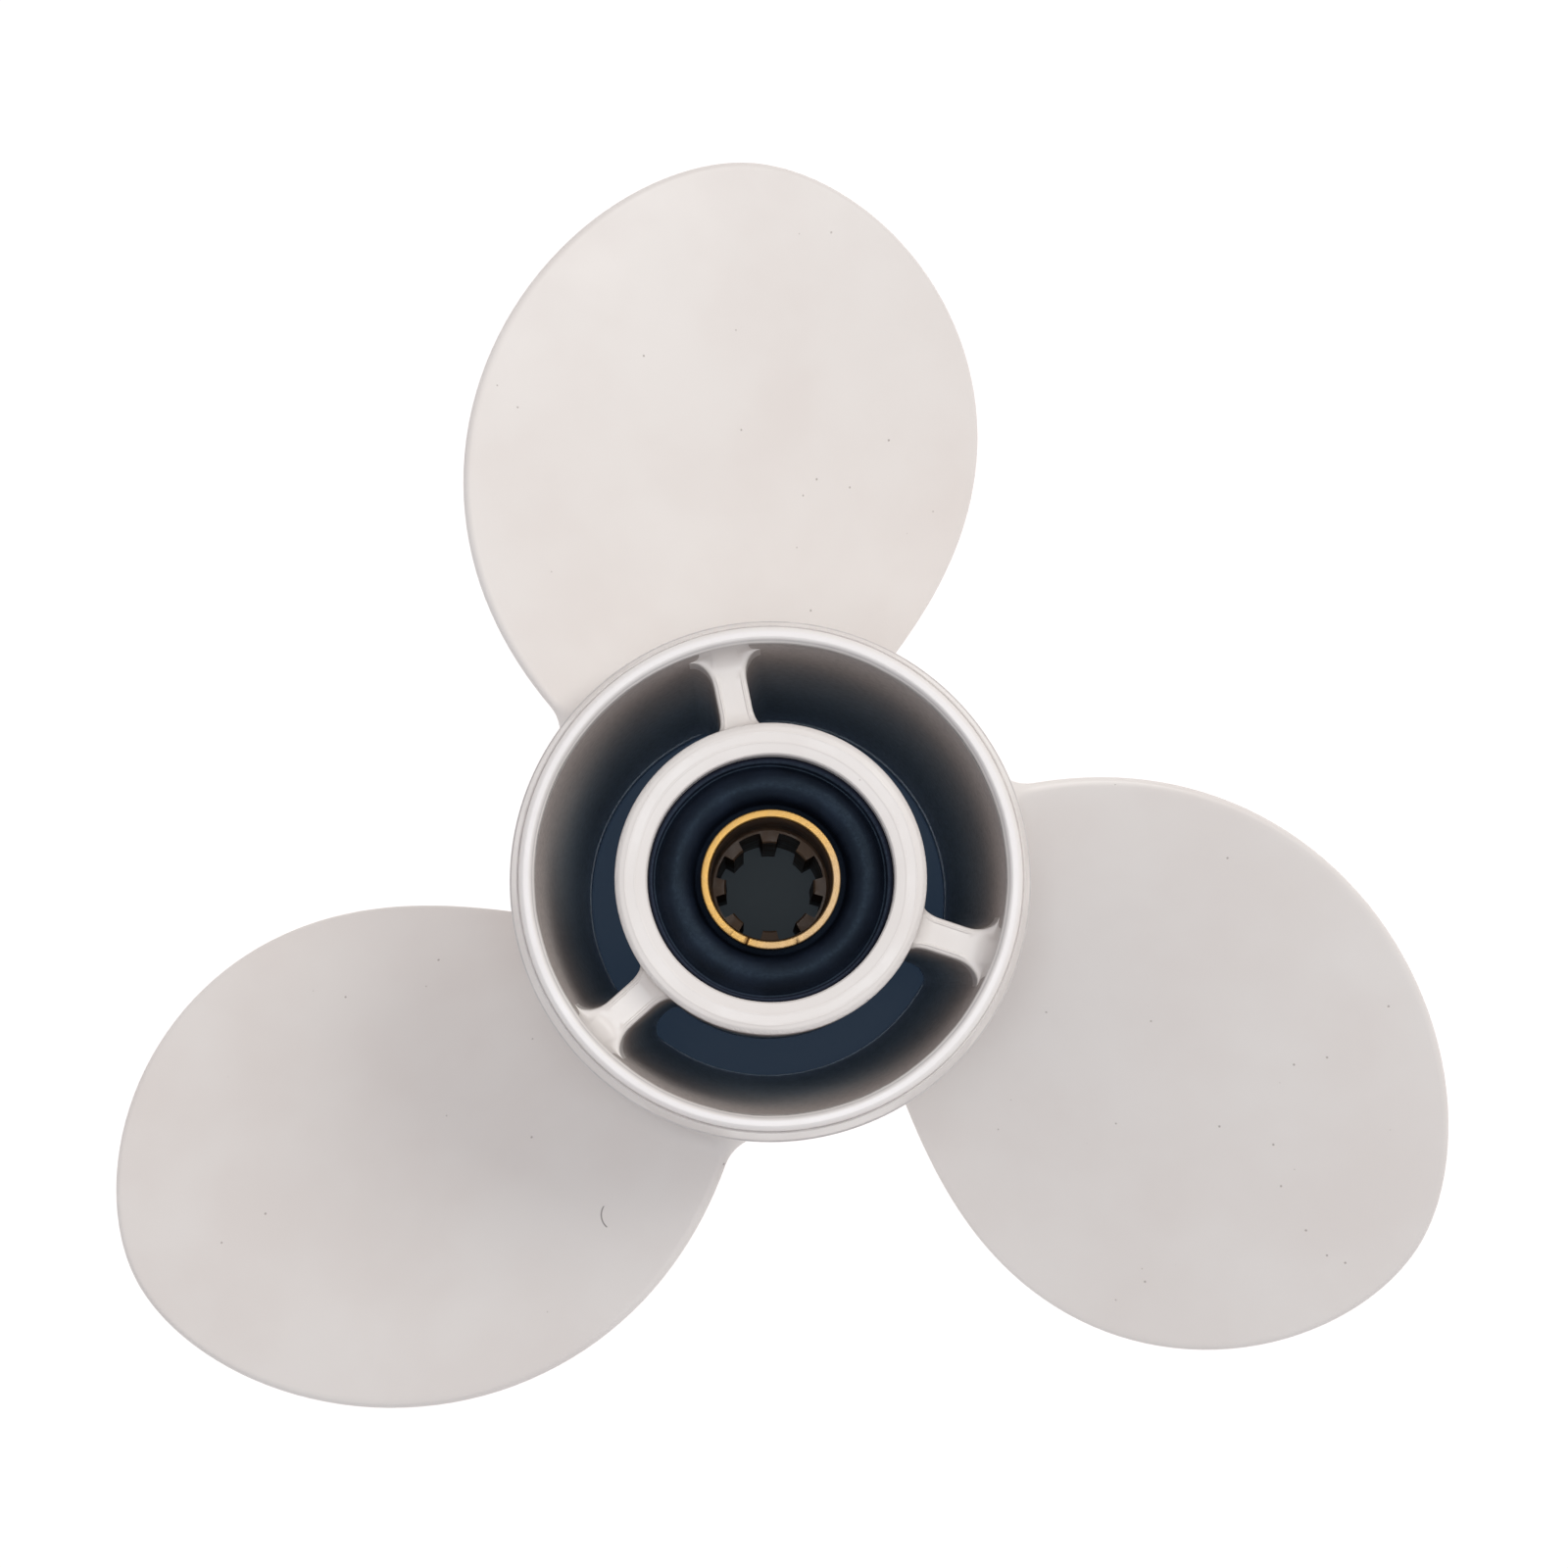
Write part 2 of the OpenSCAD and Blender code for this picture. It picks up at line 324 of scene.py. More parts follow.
def chord_share(step, length):
    """Share of the chord at a step from the leading edge, with EDGE_STEPS steps in each rounded edge."""
    rounding = np.minimum(EDGE_R, length / 6)
    near = np.minimum(step, HALF_RING - step)
    inside = rounding + (length / 2 - rounding) * (near - EDGE_STEPS) / (HALF_RING / 2 - EDGE_STEPS)
    rounded = rounding * (1 - np.cos(np.pi / 2 * np.minimum(near, EDGE_STEPS) / EDGE_STEPS))
    near_share = np.where(near <= EDGE_STEPS, rounded, inside) / length
    return np.where(step <= HALF_RING / 2, near_share, 1 - near_share)


def blade_surface(t, column):
    """Points of the blade at share t of its edges, for columns 0 to RING_POINTS - 1 round its section."""
    lead_r, lead_a = edge_point(LEADING_EDGE, t)
    trail_r, trail_a = edge_point(TRAILING_EDGE, t)
    mean_r = (lead_r + trail_r) / 2
    length = np.hypot((trail_a - lead_a) * mean_r * stretch(mean_r), trail_r - lead_r) + 1e-9
    aft = column <= HALF_RING
    share = chord_share(np.where(aft, column, RING_POINTS - column), length)
    r = lead_r + (trail_r - lead_r) * share
    angle = lead_a + (trail_a - lead_a) * share
    from_tip = np.clip((TIP_R - r) / (TIP_R - HUB_WIDEST_R), 0, 2)
    middle = TIP_THICKNESS + (ROOT_THICKNESS - TIP_THICKNESS) * from_tip ** THICKNESS_POWER
    thickness = 2 * EDGE_R + (middle - 2 * EDGE_R) * (1 - (2 * share - 1) ** 2)
    inside = 1 - np.minimum(outline_distance(r, angle) / EDGE_R, 1)
    full = np.sqrt(1 - inside ** 2)
    offset = -EDGE_R + np.where(aft, EDGE_R, EDGE_R - thickness) * full
    lead = PITCH / TURN
    normal = np.stack([lead * np.sin(angle), -lead * np.cos(angle), r], -1)
    normal /= np.linalg.norm(normal, axis=-1, keepdims=True)
    base = ring(angle, r, BLADE_MID_Z + lead * angle)
    return base + normal * offset[..., None]


def gap(points):
    """Height of points above the hub's cone."""
    return np.hypot(points[..., 0], points[..., 1]) - hub_r(points[..., 2])


def share_at_gap(height):
    """Share t, for each column, at which the blade is that far from the hub."""
    columns = np.arange(RING_POINTS)
    low, high = np.full(RING_POINTS, 0.3), np.ones(RING_POINTS)
    for _ in range(26):
        t = (low + high) / 2
        outside = gap(blade_surface(t, columns)) > height
        low, high = np.where(outside, t, low), np.where(outside, high, t)
    return (low + high) / 2


def fillet_ring(turn):
    """A ring of the root fillet, from turn 0 on the blade to a quarter turn on the hub."""
    height, spread = ROOT_FILLET * (1 - math.sin(turn)), ROOT_FILLET * (1 - math.cos(turn))
    points = blade_surface(share_at_gap(height), np.arange(RING_POINTS))
    angle = np.unwrap(np.arctan2(points[:, 1], points[:, 0]))
    z = points[:, 2]
    along, up = angle * np.hypot(points[:, 0], points[:, 1]), z
    tangent = np.stack([np.roll(along, -1) - np.roll(along, 1), np.roll(up, -1) - np.roll(up, 1)], -1)
    tangent /= np.linalg.norm(tangent, axis=-1, keepdims=True)
    new_z = z + spread * tangent[:, 0]
    new_r = hub_r(new_z) + height
    new_angle = angle - spread * tangent[:, 1] / new_r
    return ring(new_angle, new_r, new_z)


def sector_border(centre):
    """Points round one blade's third of the hub, a slice between two helical lines.

    Each point is an angle, less the screw's angle at its height, and a height.
    """
    wide, low, high = math.pi / BLADES, RIM_CHAMFER, RING_Z
    across = np.linspace(0, 2 * wide, AROUND + 1)[:-1]
    up = np.linspace(low, high, SIDE_STEPS + 1)[:-1]
    front = np.stack([wide - across, np.full(AROUND, low)], -1)
    left = np.stack([np.full(SIDE_STEPS, -wide), up], -1)
    rear = np.stack([across - wide, np.full(AROUND, high)], -1)
    right = np.stack([np.full(SIDE_STEPS, wide), high + low - up], -1)
    border = np.roll(np.concatenate([front, left, rear, right]), -(AROUND // 2), axis=0)
    return border + [centre, 0]


def rotated(points, angle):
    """Points turned round the shaft axis."""
    c, s = math.cos(angle), math.sin(angle)
    x, y = points[..., 0], points[..., 1]
    return np.stack([c * x - s * y, s * x + c * y, points[..., 2]], -1)


def blade_rows():
    """Rows of points from the blade's tip, down over its root fillet and out over its third of the hub."""
    columns = np.arange(RING_POINTS)
    tip_fall = 3 * (TIP_R - LEADING_EDGE[2][0])
    tip_turns = np.linspace(0, math.pi / 2, TIP_STEPS + 1)
    tip_shares = np.sqrt(EDGE_R * (1 - np.cos(tip_turns)) / tip_fall)
    rows = [blade_surface(np.full(RING_POINTS, t), columns) for t in tip_shares]
    top, bottom = tip_shares[-1], share_at_gap(ROOT_FILLET)
    for k in range(1, BLADE_STATIONS + 1):
        rows.append(blade_surface(top + (bottom - top) * k / BLADE_STATIONS, columns))
    for turn in np.linspace(0, math.pi / 2, FILLET_STEPS + 1)[1:]:
        rows.append(fillet_ring(turn))
    foot = rows[-1]
    foot_z = foot[:, 2]
    sheared = np.unwrap(np.arctan2(foot[:, 1], foot[:, 0])) - helix_angle(foot_z)
    centre = (sheared.max() + sheared.min()) / 2
    border = sector_border(centre)
    for share in np.linspace(0, 1, PATCH_STEPS + 1)[1:] ** PATCH_POWER:
        z = foot_z + (border[:, 1] - foot_z) * share
        angle = sheared + (border[:, 0] - sheared) * share + helix_angle(z)
        rows.append(ring(angle, hub_r(z), z))
    return np.array(rows), centre


# ---------------------------------------------------------------- hubs, ribs and exhaust passages
def wall_r(z):
    """Radius of the outer hub's inner wall."""
    return FRONT_BORE_R + (MOUTH_R - FRONT_BORE_R) * (z - LAND_LENGTH) / (LIP_SEAM_Z - LAND_LENGTH)


def rib_rise(r):
    """Rise of a rib's rear face where it meets the inner hub."""
    share = np.clip((INNER_R + RIB_RISE - r) / RIB_RISE, 0, 1)
    return RIB_RISE * (1 - np.sqrt(1 - share ** 2))


def rib_side(z):
    """Side of a rib at a height, as (x, y) from the wing on the outer wall to the heel on the inner hub."""
    half = (RIB_WIDTH + RIB_DRAFT * (RIB_TOP - z) / (RIB_TOP - RIB_LOW)) / 2
    tip_y, heel_y = half + WING_SIDE, half + HEEL_SIDE
    tip_x, heel_x = math.sqrt(wall_r(z) ** 2 - tip_y ** 2), math.sqrt(INNER_R ** 2 - heel_y ** 2)
    room = tip_x - heel_x - SHORTEST_STRAIGHT
    shrink = min(1, room / (WING_REACH + HEEL_REACH))
    turns = np.linspace(math.pi / 2, 0, RIB_CURVE_POINTS)
    wing_xs = tip_x - shrink * WING_REACH * (1 - np.sin(turns))
    wing = np.stack([wing_xs, half + WING_SIDE * (1 - np.cos(turns))], -1)
    turns = turns[::-1]
    heel_xs = heel_x + shrink * HEEL_REACH * (1 - np.sin(turns))
    heel = np.stack([heel_xs, half + HEEL_SIDE * (1 - np.cos(turns))], -1)
    shares = np.linspace(0, 1, RIB_STRAIGHT_POINTS + 2)[1:-1, None]
    straight = wing[-1] + (heel[0] - wing[-1]) * shares
    return np.concatenate([wing, straight, heel])


# Share along a rib's side of each of its points, and how much of the edge rounding each one gets
SIDE_SHARE = np.linspace(0, 1, len(rib_side(RIB_TOP)))
EDGE_FADE = np.clip(SIDE_SHARE * (1 - SIDE_SHARE) * 12, 0, 1)


def inset_side(z, inset):
    """Side of a rib drawn in by its edge rounding, which fades out at both ends."""
    side = rib_side(z)
    side[:, 1] -= inset * EDGE_FADE
    return side


def rib_points(number, side, sign, z):
    """A rib's side in the frame, for sign 1 or -1."""
    points = np.stack([side[:, 0], sign * side[:, 1], np.broadcast_to(z, len(side))], -1)
    return rotated(points, RIB_ANGLE + TURN / BLADES * number)


def passage_loop(number, side, level, inner_level):
    """Closed outline of the exhaust passage after a rib.

    Level holds the height of each side point, and inner_level is that of the points on the inner hub.
    """
    wall = wall_r(level[0])
    here, there = RIB_ANGLE + TURN / BLADES * number, RIB_ANGLE + TURN / BLADES * (number + 1)
    tip = math.atan2(side[0, 1], side[0, 0])
    heel = math.atan2(side[-1, 1], side[-1, 0])
    outer = ring(np.linspace(here + tip, there - tip, WALL_STEPS + 1)[:-1], wall, level[0])
    inner = ring(np.linspace(there - heel, here + heel, INNER_STEPS + 1)[:-1], INNER_R, inner_level)
    far = rib_points(number + 1, side, -1, level)[:-1]
    near = rib_points(number, side, 1, level)[::-1][:-1]
    return np.concatenate([outer, far, inner, near])


def rib_end(side, z, rear):
    """Grid over a rib's end face from its ramp's foot to the inner hub, for a rib along X.

    At the rear end the foot bulges outward, the edges stand proud and the face rises to the inner hub.
    """
    rows = []
    heel_x = side[-RIB_CURVE_POINTS, 0]
    for station in range(FOOT_STATION, len(side)):
        x, y = side[station]
        ys = y * RIB_COLUMNS
        bulge = FOOT_BULGE * max(0, 1 - (station - FOOT_STATION) / BULGE_STATIONS) if rear else 0
        xs = x - bulge * (1 - RIB_COLUMNS ** 2)
        if x < heel_x:
            inner = np.sqrt(INNER_R ** 2 - (side[-1, 1] * RIB_COLUMNS) ** 2) - side[-1, 0]
            xs = xs + inner * (heel_x - x) / (heel_x - side[-1, 0])
        zs = np.full(len(ys), z)
        if rear:
            middle = math.sin(math.pi * (station - FOOT_STATION) / (len(side) - 1 - FOOT_STATION))
            zs = z + rib_rise(np.hypot(xs, ys)) + EDGE_LIFT * min(1, 3 * middle)
        rows.append(np.stack([xs, ys, zs], -1))
    return np.array(rows)


def ramp_foot(side, first_row):
    """Line from one wing tip of a rib, along its side, across the ramp's foot and out to the other tip."""
    z = first_row[0, 2]
    right = np.stack([side[:FOOT_STATION, 0], side[:FOOT_STATION, 1], np.full(FOOT_STATION, z)], -1)
    left = right * (1, -1, 1)
    return np.concatenate([left, first_row, right[::-1]])


# A ramp's rows: how far round its curve each one is, and its share of the ramp's height
RAMP_TURNS = np.linspace(0, math.pi / 2, 9)
RAMP_RISES = (1 - np.cos(RAMP_TURNS)) ** 1.6


def ramp(foot, top_angles, top_r, top_z):
    """Rows from the ramp's foot, curving up from flat to the angles at the lip."""
    angles = np.arctan2(foot[:, 1], foot[:, 0])
    radii = np.hypot(foot[:, 0], foot[:, 1])
    rows = []
    for out, up in zip(np.sin(RAMP_TURNS), RAMP_RISES):
        z = foot[:, 2] + (top_z - foot[:, 2]) * up
        from_wall = (wall_r(foot[:, 2]) - radii) * (1 - out)
        rows.append(ring(angles + (top_angles - angles) * out, wall_r(z) - from_wall, z))
    rows[-1] = ring(top_angles, top_r, top_z)
    return rows


def rounded_levels(end, inward):
    """(height, inset) of the loops that round a rib's edge, from its end face inward along Z."""
    turns = np.linspace(0, math.pi / 2, 5)
    return [(end + inward * RIB_EDGE_R * (1 - math.cos(t)), RIB_EDGE_R * (1 - math.sin(t))) for t in turns]


def passage_rows(number):
    """Loops of one exhaust passage, from the rear ends of its ribs to their front ends."""
    rear = rounded_levels(RIB_TOP, -1)
    front = rounded_levels(RIB_LOW, 1)
    between = [(z, 0) for z in np.linspace(rear[-1][0], front[-1][0], PASSAGE_LEVELS + 2)[1:-1]]
    rows = []
    for z, inset in rear + between + front[::-1]:
        side = inset_side(z, inset)
        share = max(0, (z - RIB_LOW) / (RIB_TOP - RIB_LOW)) ** 3
        level = z + rib_rise(np.hypot(side[:, 0], side[:, 1])) * share
        rows.append(passage_loop(number, side, level, z + RIB_RISE * share))
    return rows


def round_ribs(over, steps):
    """Angles of a whole loop: those given over each rib, and even steps between ribs."""
    made = []
    for number in range(BLADES):
        rib = RIB_ANGLE + TURN / BLADES * number
        made.append(rib + over[:-1])
        made.append(np.linspace(rib + over[-1], rib + TURN / BLADES + over[0], steps + 1)[:-1])
    return np.concatenate(made)


def matched(angles, start, step):
    """Angles evenly spaced by step from start, each as near as whole steps allow to those given."""
    shift = round(float(np.mean((angles - start) / step - np.arange(len(angles)))))
    return start + step * (np.arange(len(angles)) + shift)


def bare_columns(count):
    """Slot 1 for a passage loop's columns on the outer wall, slot 0 for the others."""
    return (np.arange(count) < WALL_STEPS).astype(int)


def moved_out(rows, distance):
    """Rows with each point moved away from the shaft axis by a distance."""
    radii = np.hypot(rows[..., 0], rows[..., 1])
    return np.concatenate([rows[..., :2] * (1 + distance / radii)[..., None], rows[..., 2:]], -1)


def inner_hub_rows(rear_angles, front_angles):
    """Rows of the inner hub, from the ribs' rear faces over its crest and down its bore to their fronts."""
    bore_r = BUSH_R + PLAY
    shoulder_z = INNER_LOW + SHOULDER_LENGTH
    crest = [
        (INNER_R, INNER_TOP - 0.9, 0.45), (INNER_R - 0.7, INNER_TOP - 0.14, 0.6),
        (INNER_R - 1.5, INNER_TOP, 0.6), (INNER_R - 2.9, INNER_TOP - 0.03, 0.9),
        (bore_r + 0.25, INNER_TOP - 0.22, 0.25), (bore_r, INNER_TOP - 0.6, 0.2)]
    bore = [(bore_r, shoulder_z), (SHOULDER_R, shoulder_z), (SHOULDER_R, INNER_LOW, 0.4)]
    front = [(INNER_R - 0.8, INNER_LOW, 0.3), (INNER_R, INNER_LOW + 0.8, 0.3), (INNER_R, RIB_LOW)]
    line = profile([(INNER_R, RIB_TOP + RIB_RISE), *crest, *bore, *front], 7)
    rows = np.array(turned(line, rear_angles, front_angles))
    angles = np.arctan2(rows[..., 1], rows[..., 0])
    on_crest = np.clip((rows[..., 2] - INNER_TOP + 1.2) / 1.2, 0, 1)
    waves = np.sin(2 * angles + 0.7) + 0.6 * np.sin(5 * angles + 2) + 0.3 * np.sin(11 * angles)
    return moved_out(rows, CREST_WANDER * on_crest * waves)


def uneven_lip(rows):
    """The lip's rows with its inner edge, as hand finished metal, not quite round."""
    angles = np.arctan2(rows[..., 1], rows[..., 0])
    radii = np.hypot(rows[..., 0], rows[..., 1])
    above_seam = np.clip((rows[..., 2] - LIP_SEAM_Z) / 0.3, 0, 1)
    near_mouth = np.clip(1.9 - 2 * (radii - MOUTH_R), 0, 1)
    coarse = np.sin(17 * angles + 3 * np.sin(2 * angles))
    fine = 0.6 * np.sin(41 * angles + 2 * np.sin(3 * angles))
    wander = 0.02 * (coarse + fine) + 0.08 * np.sin(3 * angles + 0.5)
    return moved_out(rows, above_seam * near_mouth * wander)


def rear_end_rows(lip_angles, outer_angles):
    """Rows of the outer hub's rear end: up over the lip, into its groove and down to the widest ring."""
    seam = [
        (MOUTH_R, LIP_SEAM_Z), (MOUTH_R + 0.2, LIP_SEAM_Z + 0.12), (MOUTH_R, LIP_SEAM_Z + 0.3, 0.06)]
    lip = [
        (MOUTH_R + 0.1, HUB_TOP - 0.9, 0.2), (MOUTH_R + 0.65, HUB_TOP - 0.15, 0.2),
        (MOUTH_R + 0.9, HUB_TOP, 0.15), (MOUTH_R + 1.7, HUB_TOP - 0.02, 0.4),
        (MOUTH_R + 2.3, HUB_TOP - 0.5, 0.4)]
    groove = [
        (LIP_GROOVE_R - 0.1, LIP_SEAM_Z + 0.2, 0.05), (LIP_GROOVE_R, LIP_SEAM_Z),
        (LIP_GROOVE_R + 0.25, LIP_SEAM_Z + 0.15, 0.1)]
    band = [
        (HUB_WIDEST_R - 0.25, RING_Z + 0.5), (HUB_WIDEST_R - 0.04, RING_Z + 0.25, 0.05),
        (HUB_WIDEST_R, RING_Z)]
    line = profile([*seam, *lip, *groove, *band], 6)
    return uneven_lip(np.array(turned(line, lip_angles, outer_angles)))


def front_end_rows(wall_angles, outer_angles):
    """Rows of the outer hub's front end, in two parts: the bare socket and the painted rim."""
    line = profile([
        (wall_r(RIB_LOW), RIB_LOW), (FRONT_BORE_R + 0.4, LAND_LENGTH + 0.15),
        (FRONT_BORE_R, LAND_LENGTH, 0.1), (FRONT_BORE_R, 0, 0.5),
        (HUB_FRONT_R - RIM_CHAMFER, 0, 0.25), (hub_r(RIM_CHAMFER), RIM_CHAMFER)])
    rows = turned(line, wall_angles, outer_angles)
    socket_rows = 8
    return rows[:socket_rows], rows[socket_rows - 1:]


def wall_rows(rib, ramp_rows):
    """Rows of the wall between the ramps of one rib and the next, from the ribs' rear faces to the lip."""
    rows = []
    for row, rise in zip(ramp_rows, RAMP_RISES):
        z = RIB_TOP + (LIP_SEAM_Z - RIB_TOP) * rise
        side = math.atan2(row[-1][1], row[-1][0])
        angles = np.linspace(rib + side, rib + TURN / BLADES - side, WALL_STEPS + 1)
        rows.append(ring(angles, wall_r(z), z))
    return rows


def casting_mesh(materials):
    """Blades, hubs and ribs as one closed skin. Slot 0 is painted, slot 1 is bare inside the passages."""
    skin = Skin()
    rows, centre = blade_rows()
    for number in range(BLADES):
        skin.grid(rotated(rows, BLADE_ANGLE + TURN / BLADES * number), closed=True)

    top_side, low_side = inset_side(RIB_TOP, RIB_EDGE_R), inset_side(RIB_LOW, RIB_EDGE_R)
    top_face, low_face = rib_end(top_side, RIB_TOP, True), rib_end(low_side, RIB_LOW, False)
    top_foot, low_foot = ramp_foot(top_side, top_face[0]), ramp_foot(low_side, low_face[0])
    top_angles = np.arctan2(top_foot[:, 1], top_foot[:, 0])
    low_angles = np.arctan2(low_foot[:, 1], low_foot[:, 0])
    lip_angles = top_angles * math.asin(PAD_TOP_HALF / MOUTH_R) / top_angles[-1]

    step = TURN / BLADES / AROUND
    sector_start = BLADE_ANGLE + centre - math.pi / BLADES
    lip = round_ribs(lip_angles, WALL_STEPS)
    rear_outer = matched(lip, sector_start + helix_angle(RING_Z), step)
    skin.grid(rear_end_rows(lip, rear_outer), closed=True)

    low_arc = ring(low_angles, wall_r(RIB_LOW), RIB_LOW)
    ramp_rows = np.array(ramp(top_foot, lip_angles, MOUTH_R, LIP_SEAM_Z))
    for number in range(BLADES):
        rib = RIB_ANGLE + TURN / BLADES * number
        for patch in (top_face, low_face, np.array([low_foot, low_arc]), ramp_rows):
            skin.grid(rotated(patch, rib))
        loops = passage_rows(number)
        skin.grid(loops[:PAINTED_LOOPS + 1], slot=bare_columns(len(loops[0])), closed=True)
        skin.grid(loops[PAINTED_LOOPS:], slot=1, closed=True)
        skin.grid(wall_rows(rib, ramp_rows), slot=1)

    low_wall = round_ribs(low_angles, WALL_STEPS)
    front_outer = matched(low_wall, sector_start + helix_angle(RIM_CHAMFER), step)
    socket, rim = front_end_rows(low_wall, front_outer)
    skin.grid(socket, slot=1, closed=True)
    skin.grid(rim, closed=True)

    heel = round_ribs(np.arcsin(top_side[-1, 1] * RIB_COLUMNS / INNER_R), INNER_STEPS)
    low_heel = round_ribs(np.arcsin(low_side[-1, 1] * RIB_COLUMNS / INNER_R), INNER_STEPS)
    skin.grid(inner_hub_rows(heel, low_heel), closed=True)
    return skin.mesh("propeller_casting", materials)


# ---------------------------------------------------------------- rubber bush and brass sleeve
def closed_turning(line, steps):
    """Rows of a closed profile turned round the shaft axis."""
    angles = np.linspace(0, TURN, steps + 1)[:-1]
    return [ring(angles, r, z) for r, z in np.concatenate([line, line[:1]])]


def bush_mesh(materials):
    """Rubber bush: flat outer band, fine groove, round bead and a dip beside the sleeve."""
    inner_r = SLEEVE_R + PLAY
    band_z = BUSH_HIGH - BAND_DROP
    turns = np.linspace(math.radians(28), math.radians(160), 14)
    bead = [(BEAD_R + 2.7 * math.cos(t), band_z - 1.2 + 2.6 * math.sin(t)) for t in turns]
    outside = [
        (inner_r, BUSH_LOW), (BUSH_R - 1, BUSH_LOW, 0.2), (BUSH_R, BUSH_LOW + 1, 0.2),
        (BUSH_R, band_z, 0.45)]
    groove = [
        (GROOVE_R + 0.3, band_z - 0.05, 0.12), (GROOVE_R + 0.1, band_z - 0.38, 0.1),
        (GROOVE_R - 0.15, band_z - 0.4, 0.08), (GROOVE_R - 0.35, band_z - 0.2, 0.12)]
    dip = [(DIP_R, band_z - 1.9, 0.4), (inner_r + 0.3, band_z - 2.1, 0.2), (inner_r, band_z - 2.2)]
    rows = np.array(closed_turning(profile([*outside, *groove, *bead, *dip]), BUSH_STEPS))
    angles = np.arctan2(rows[..., 1], rows[..., 0])
    radii = np.hypot(rows[..., 0], rows[..., 1])
    near_groove = np.clip(1 - np.abs(radii - GROOVE_R) / 0.9, 0, 1) * (rows[..., 2] > band_z - 2)
    wander = 0.28 * np.cos(angles - GROOVE_WIDEST) + 0.06 * np.sin(5 * angles)
    skin = Skin()
    skin.grid(moved_out(rows, near_groove * wander), closed=True)
    return skin.mesh("hub_bush", materials, 40)


def spline_line():
    """Angles round the sleeve, and how far each is up a tooth, from 0 at its root to 1 at its tip."""
    pitch = TURN / SPLINE_TEETH
    tip, root = TOOTH_TIP_HALF, TOOTH_ROOT_HALF
    # The stretches of one tooth and the gap after it: angles and heights at both ends, and steps
    stretches = (
        (-tip, tip, 1, 1, TOOTH_TIP_STEPS), (tip, root, 1, 0, TOOTH_FLANK_STEPS),
        (root, pitch - root, 0, 0, TOOTH_ROOT_STEPS), (pitch - root, pitch - tip, 0, 1, TOOTH_FLANK_STEPS))
    angles, heights_up = [], []
    for number in range(SPLINE_TEETH):
        for start, end, low, high, steps in stretches:
            angles.append(SPLINE_ANGLE + pitch * number + np.linspace(start, end, steps + 1)[:-1])
            heights_up.append(np.linspace(low, high, steps + 1)[:-1])
    return np.concatenate(angles), np.concatenate(heights_up)


def notched(rows, angles):
    """Rows of the sleeve's outside with the notches sunk into its rear face."""
    for row in rows:
        radius = np.hypot(row[:, 0], row[:, 1])
        on_face = row[:, 2] > SLEEVE_TOP - 0.3
        for angle, depth, share in NOTCHES:
            apart = np.abs((angles - angle + math.pi) % TURN - math.pi) * SLEEVE_R
            reached = radius > SLEEVE_R - share * (SLEEVE_R - COUNTERBORE_R) - 0.05
            row[:, 2] -= depth * np.clip(1 - apart / NOTCH_HALF, 0, 1) * on_face * reached
    return rows


def sleeve_mesh(materials):
    """Brass sleeve: slot 0 is its machined outside and ends, slot 1 its dark bore."""
    step_z = SLEEVE_TOP - COUNTERBORE_DEPTH
    angles, tooth = spline_line()
    outside = profile([
        (END_CHAMFER_R, SLEEVE_LOW), (SLEEVE_R, SLEEVE_LOW, 0.5), (SLEEVE_R, SLEEVE_TOP, 0.22),
        (COUNTERBORE_R + 0.3, SLEEVE_TOP, 0.12), (COUNTERBORE_R, SLEEVE_TOP - 0.4)])
    skin = Skin()
    skin.grid(notched(turned(outside, angles), angles), closed=True)

    def spline_ring(z, opened=0.0):
        """The spline's outline at a height, its teeth cut back by a length in mm."""
        return ring(angles, SPLINE_MAJOR_R + (SPLINE_MINOR_R + opened - SPLINE_MAJOR_R) * tooth, z)

    counterbore = [ring(angles, COUNTERBORE_R, z) for z in (SLEEVE_TOP - 0.4, SLEEVE_TOP - 1.2, step_z + 0.3)]
    counterbore.append(ring(angles, COUNTERBORE_R - 0.3, step_z))
    teeth = [
        spline_ring(step_z, 0.25), spline_ring(step_z - 0.25),
        spline_ring(SLEEVE_LOW + 0.4), spline_ring(SLEEVE_LOW, 0.4)]
    end = ring(angles, END_CHAMFER_R, SLEEVE_LOW)
    skin.grid([*counterbore, *teeth, end], slot=1, closed=True)
    return skin.mesh("drive_sleeve", materials, 30)


